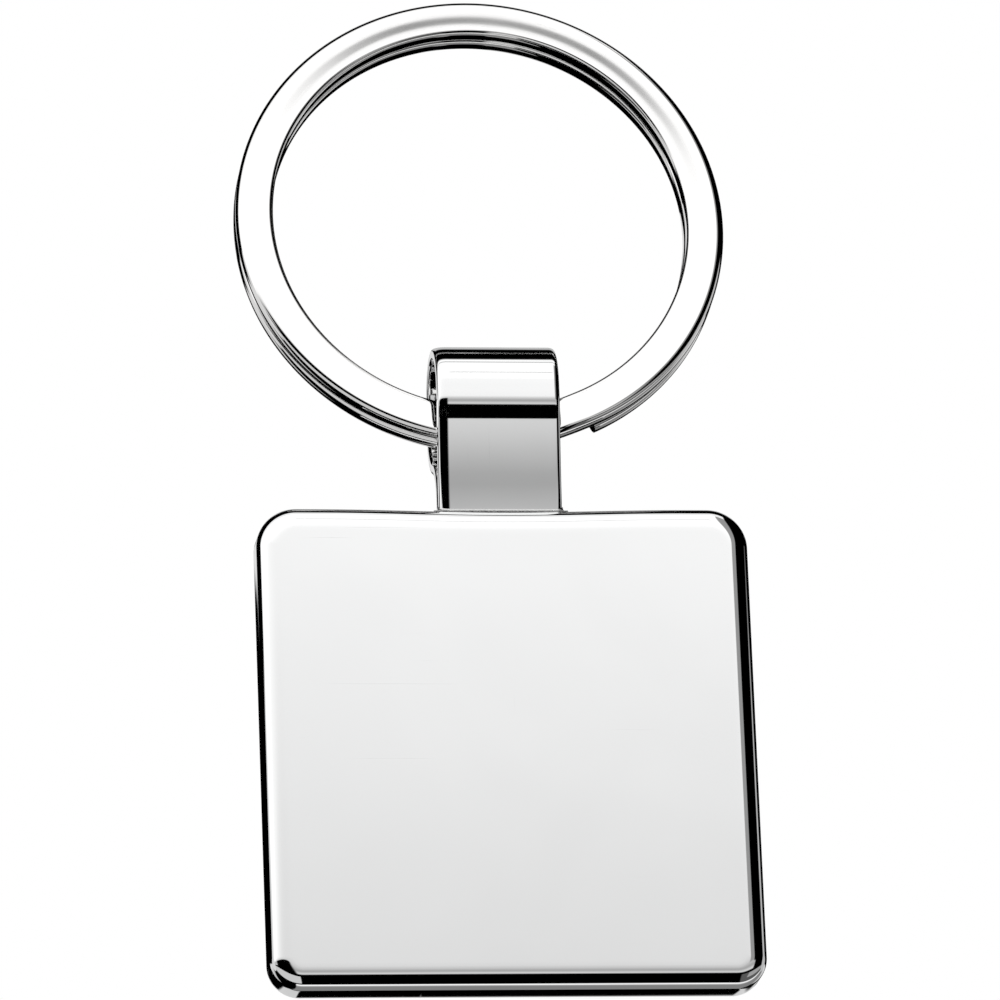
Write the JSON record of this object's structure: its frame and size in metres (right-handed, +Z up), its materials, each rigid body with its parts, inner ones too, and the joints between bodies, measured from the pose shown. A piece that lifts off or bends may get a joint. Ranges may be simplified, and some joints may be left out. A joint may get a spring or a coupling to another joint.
{
  "type": "keyring fob",
  "caption": "Square polished metal plate on a folded strap, hung from a flat-wire split ring that swings in the strap's eye.",
  "frame": {"origin": "the hook point: the inside top of the split ring, half way through its thickness", "axes": "+Z up, away from the plate; -Y out of the plate's front face; +X to the right of someone who looks at the front"},
  "size_m": [0.0322, 0.0086, 0.0689],
  "materials": {
    "plate_plating": "mirror polished bright plating on die-cast zinc",
    "strap_plating": "mirror polished bright plating on folded strip",
    "solder": "bright solder, slightly dull",
    "ring_plating": "bright nickel plating on flat spring wire"
  },
  "bodies": {
    "ring": {"split_ring": "ring_plating"},
    "fob": {"fob_plate": "plate_plating", "link_strap": "strap_plating", "solder_joint": "solder"}
  },
  "joints": [
    {"name": "ring_swing", "type": "hinge", "parent": "ring", "child": "fob", "pos_m": [0, -0.00373, -0.02798], "axis": [1, 0, 0], "range_deg": [-154, 157]}
  ]
}
